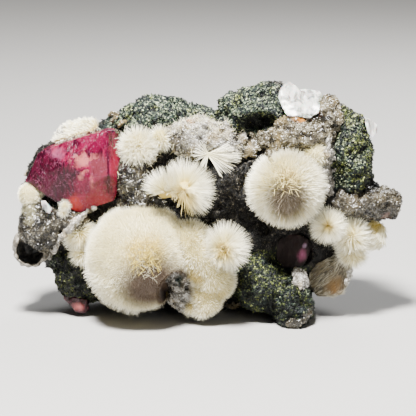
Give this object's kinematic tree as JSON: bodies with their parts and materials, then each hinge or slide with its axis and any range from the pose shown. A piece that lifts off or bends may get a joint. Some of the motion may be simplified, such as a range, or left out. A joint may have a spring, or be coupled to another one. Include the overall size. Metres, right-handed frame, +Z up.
{
  "type": "calcite with mesolite mineral specimen",
  "caption": "Green-skinned basalt cavity wall with drusy quartz, translucent pink calcite crystals and white mesolite needle balls, standing on a flat cut base.",
  "frame": {"origin": "on the plane of the flat cut base, below the middle of the overall box", "axes": "+X to the right across the show face, +Y into the specimen away from the show face, +Z up"},
  "size_m": [0.1199, 0.0607, 0.0732],
  "materials": {
    "basalt": "granular green celadonite skin over dark basalt, matt",
    "druse_grey": "fine drusy quartz, grey and sparkling",
    "druse_tan": "fine drusy quartz, tan and sparkling",
    "druse_white": "fine drusy quartz, white and sparkling",
    "chalcedony": "thin pale shell, dark inside",
    "calcite": "translucent raspberry pink, glassy cleavage faces",
    "calcite_dark": "translucent dark pink, glassy",
    "milky_quartz": "translucent white, waxy",
    "clear_quartz": "clear and bright",
    "mesolite": "silky cream-white needles, tan toward their roots"
  },
  "bodies": {
    "root": {"basalt_rock": "basalt", "druse_left": "druse_grey", "druse_middle": "druse_grey", "druse_upper_right": "druse_tan", "druse_right": "druse_tan", "druse_top_band": "druse_white", "druse_lower_knob": "druse_grey", "druse_pocket_rim": "druse_grey", "chalcedony_bubble": "chalcedony", "calcite_large": "calcite", "calcite_pocket": "calcite_dark", "calcite_foot": "calcite", "milky_chip_top": "milky_quartz", "milky_chip_right": "milky_quartz", "clear_chip_left": "clear_quartz", "mesolite_block_upper_left": "mesolite", "mesolite_block_lower_right": "mesolite", "mesolite_block_right": "mesolite", "mesolite_cluster_large": "mesolite", "mesolite_ball_right": "mesolite", "mesolite_ball_lower_right": "mesolite", "mesolite_fan": "mesolite", "mesolite_puff_upper": "mesolite", "mesolite_puff_left": "mesolite", "mesolite_tuft_left": "mesolite", "mesolite_tuft_small": "mesolite", "mesolite_spray": "mesolite"}
  },
  "joints": []
}
